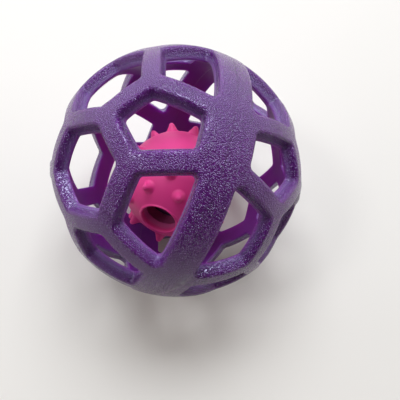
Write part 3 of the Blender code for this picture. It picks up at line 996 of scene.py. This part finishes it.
def pink_vinyl():
    """Even matte pink, with the throat painted paler as painted bounce light."""
    material, tree, shader, place = new_finish("pink_vinyl")
    mottle = use_group(tree, mottle_group, place, Patches_per_metre=90.0)
    grain = use_group(tree, grain_group, place, Pebbles_per_metre=3800.0)
    skin = mix_colours(tree, mottle.outputs["Tone"], VINYL_DARK, VINYL_PALE)
    radius = measure(tree, "DISTANCE", place, BALL_CENTRE)
    throat = between(tree, radius, THROAT_START, THROAT_WHOLE)
    # painted bounce light: the throat is painted paler than the skin
    wire(tree, mix_colours(tree, throat, skin, THROAT_BOUNCE_PINK), shader.inputs["Base Color"])
    matte = between(tree, mottle.outputs["Tone"], 0.0, 1.0, to_low=0.46, to_high=0.56)
    wire(tree, matte, shader.inputs["Roughness"])
    add_bump(tree, grain.outputs["Height"], 0.12, 0.05 * MM, shader)
    return material


vinyl = pink_vinyl()
print("finish:", vinyl.name)

# %% Place the squeaker ball
MOUTH_ELEVATION = math.radians(27.0)
MOUTH_TURN = math.radians(-10.5)
ball_place = (
    Matrix.Translation(BALL_CENTRE)
    @ Matrix.Rotation(MOUTH_TURN, 4, "Z")
    @ Matrix.Rotation(math.pi / 2 - MOUTH_ELEVATION, 4, "X")
)


def loose_object(mesh):
    """A helper object that a tree reads, removed afterwards."""
    helper = bpy.data.objects.new(mesh.name, mesh)
    bpy.context.scene.collection.objects.link(helper)
    return helper


nub_object = loose_object(nub_mesh)
places_object = loose_object(places_mesh)
ball_mesh = run_tree("squeaker_ball", ball_body, nub_tree,
                     {"Nub": nub_object, "Places": places_object, "Finish": vinyl})
bpy.data.objects.remove(nub_object)
bpy.data.objects.remove(places_object)
finish_piece("squeaker_ball", ball_mesh, ball_place, "inner_ball", "inner_ball")

# %% [markdown]
# ## The squeaker
#
# A cup and a vented cap hold a half-round tube with a thin reed on its flat side. Only the cap
# shows, deep in the mouth. These are simple solids already, so they keep their shape and only get
# their finish: a dark satin plastic, and a pale glossy film for the reed.

# %% Squeaker finishes
ROUGH_SPREAD = 0.08


def satin_plastic(name, dark, light, rough):
    """Moulded plastic with a slow change of tone and a very fine grain."""
    material, tree, shader, place = new_finish(name)
    mottle = use_group(tree, mottle_group, place, Patches_per_metre=400.0)
    grain = use_group(tree, grain_group, place, Pebbles_per_metre=6000.0)
    wire(tree, mix_colours(tree, mottle.outputs["Tone"], dark, light), shader.inputs["Base Color"])
    satin = between(tree, mottle.outputs["Tone"], 0.0, 1.0, rough, rough + ROUGH_SPREAD)
    wire(tree, satin, shader.inputs["Roughness"])
    add_bump(tree, grain.outputs["Height"], 0.1, 0.03 * MM, shader)
    return material


dark_plastic = satin_plastic("dark_plastic", (0.085, 0.072, 0.098), (0.105, 0.090, 0.120), 0.4)
clear_film = satin_plastic("clear_film", (0.74, 0.76, 0.78), (0.82, 0.84, 0.86), 0.16)
for node, material in (("squeaker_cup", dark_plastic), ("squeaker_cap", dark_plastic),
                       ("reed_tube", dark_plastic), ("reed", clear_film)):
    solid = frame["nodes"][node]
    solid.data.materials.clear()
    solid.data.materials.append(material)
print("squeaker finishes set")

# %% [markdown]
# ## Floor
#
# The ball lies on a plain pale table. One large square is enough, with a tone that hardly changes.
# A curved studio sweep would hide the horizon, but it would stand in the way of the light from the
# room.

# %% Floor
FLOOR_REACH = 1.5
FLOOR_DARK = (0.78, 0.74, 0.685)
FLOOR_PALE = (0.80, 0.76, 0.705)


def pale_floor():
    """Plain pale table top."""
    material, tree, shader, place = new_finish("pale_floor")
    mottle = use_group(tree, mottle_group, place, Patches_per_metre=8.0)
    tone = mix_colours(tree, mottle.outputs["Tone"], FLOOR_DARK, FLOOR_PALE)
    wire(tree, tone, shader.inputs["Base Color"])
    shader.inputs["Roughness"].default_value = 0.6
    return material


floor_mesh = bpy.data.meshes.new("floor")
floor_corners = [(x * FLOOR_REACH, y * FLOOR_REACH, 0) for x, y in ((-1, -1), (1, -1), (1, 1), (-1, 1))]
floor_mesh.from_pydata(floor_corners, [], [(0, 1, 2, 3)])
floor_mesh.materials.append(pale_floor())
floor = bpy.data.objects.new("floor", floor_mesh)
bpy.context.scene.collection.objects.link(floor)
print("floor:", 2 * FLOOR_REACH, "m square")

# %% [markdown]
# ## Light
#
# One large soft light stands behind the ball, as a window would. A small lamp high on the left
# picks out the grain, and the world fills the shadows. A single lamp would leave the walls of the
# holes black. The world is uneven so that the gloss has something to show, and the camera sees a
# plain pale backdrop in its place. Nothing on the toy is metal or glass, so only the camera needs
# that backdrop.

# %% Lamps
def soft_light(name, place, width, height, power, colour):
    """A rectangular area light aimed at the ball."""
    lamp = bpy.data.lights.new(name, "AREA")
    lamp.shape = "RECTANGLE"
    lamp.size = width
    lamp.size_y = height
    lamp.energy = power
    lamp.color = colour
    lamp_object = bpy.data.objects.new(name, lamp)
    lamp_object.location = place
    lamp_object.rotation_euler = (Vector(place) - CAGE_CENTRE).to_track_quat("Z", "Y").to_euler()
    bpy.context.scene.collection.objects.link(lamp_object)


soft_light("window", place=(-0.14, 0.53, 0.92), width=0.8, height=0.4, power=10.0,
           colour=(0.95, 1.0, 1.06))
soft_light("ceiling_lamp", place=(-0.62, -0.12, 0.95), width=0.18, height=0.18, power=1.5,
           colour=(0.97, 1.0, 1.04))

# %% Light from the room
WINDOW_SIDE = Vector((-0.20, 0.98, 0.0))
ROOM_LOW = 1.5
ROOM_OVERHEAD = 0.3
ROOM_FRONT = 0.05
ROOM_BACK = 1.25
ROOM_WARM = (1.0, 0.87, 0.74)
ROOM_COOL = (0.90, 0.96, 1.06)
BACKDROP = (0.93, 0.92, 0.91, 1.0)


def room_world():
    """Soft light from all round: brighter low down and at the back than overhead and at the front."""
    world = bpy.data.worlds.new("room")
    world.use_nodes = True
    tree = world.node_tree
    way = tree.nodes.new("ShaderNodeTexCoord")
    parts = tree.nodes.new("ShaderNodeSeparateXYZ")
    wire(tree, way.outputs["Generated"], parts.inputs[0])
    facing = measure(tree, "DOT_PRODUCT", way.outputs["Generated"], WINDOW_SIDE)
    height = between(tree, parts.outputs["Z"], 0.1, 0.95, ROOM_LOW, ROOM_OVERHEAD)
    depth = between(tree, facing, -0.8, 0.8, ROOM_FRONT, ROOM_BACK)
    colour = mix_colours(tree, between(tree, facing, -0.2, 0.7), ROOM_WARM, ROOM_COOL)
    room = tree.nodes["Background"]
    wire(tree, colour, room.inputs["Color"])
    wire(tree, number(tree, "MULTIPLY", height, depth), room.inputs["Strength"])
    backdrop = add_node(tree, "ShaderNodeBackground", Color=BACKDROP)
    ray = tree.nodes.new("ShaderNodeLightPath")
    choice = tree.nodes.new("ShaderNodeMixShader")
    wire(tree, ray.outputs["Is Camera Ray"], choice.inputs["Fac"])
    wire(tree, room.outputs[0], choice.inputs[1])
    wire(tree, backdrop.outputs[0], choice.inputs[2])
    wire(tree, choice.outputs[0], tree.nodes["World Output"].inputs["Surface"])
    return world


bpy.context.scene.world = room_world()
bpy.context.scene.view_settings.view_transform = "Standard"
print("world:", bpy.context.scene.world.name)

# %% [markdown]
# ## Camera
#
# The ball is seen almost from above, close up. The camera is written as an azimuth, an elevation, a
# roll and a distance from the ball's centre, and a last small turn puts that centre at its place in
# the picture. Aiming with a Track To constraint would put it in the middle of the frame instead.

# %% Camera
IMAGE_SIZE = 400
FOCAL_PIXELS = 427.0
BALL_PIXEL = (178.0, 172.9)
CAMERA_DISTANCE = 3.54 * OUTER_RADIUS
CAMERA_AZIMUTH = math.radians(9.62)
CAMERA_ELEVATION = math.radians(72.97)
CAMERA_ROLL = math.radians(3.79)


def camera_turn():
    """Turn of a camera that has the ball's centre at its pixel of the picture."""
    level = math.cos(CAMERA_ELEVATION)
    right = Vector((math.cos(CAMERA_AZIMUTH), math.sin(CAMERA_AZIMUTH), 0))
    back = Vector((level * right.y, -level * right.x, math.sin(CAMERA_ELEVATION)))
    upright = Matrix((right, back.cross(right), back)).transposed()
    turn = upright @ Matrix.Rotation(CAMERA_ROLL, 3, "Z")
    across = (BALL_PIXEL[0] - IMAGE_SIZE / 2) / FOCAL_PIXELS
    above = (IMAGE_SIZE / 2 - BALL_PIXEL[1]) / FOCAL_PIXELS
    seen = turn @ Vector((across, above, -1)).normalized()
    nudge = seen.rotation_difference(-back).to_matrix()
    return back, nudge @ turn


back, turn = camera_turn()
lens = bpy.data.cameras.new("camera")
lens.sensor_fit = "HORIZONTAL"
lens.lens = lens.sensor_width * FOCAL_PIXELS / IMAGE_SIZE
lens.clip_start = 1 * MM
camera = bpy.data.objects.new("camera", lens)
camera.matrix_world = Matrix.Translation(CAGE_CENTRE + back * CAMERA_DISTANCE) @ turn.to_4x4()
bpy.context.scene.collection.objects.link(camera)
bpy.context.scene.camera = camera
print("camera:", [round(c, 3) for c in camera.location], "lens", round(lens.lens, 1))
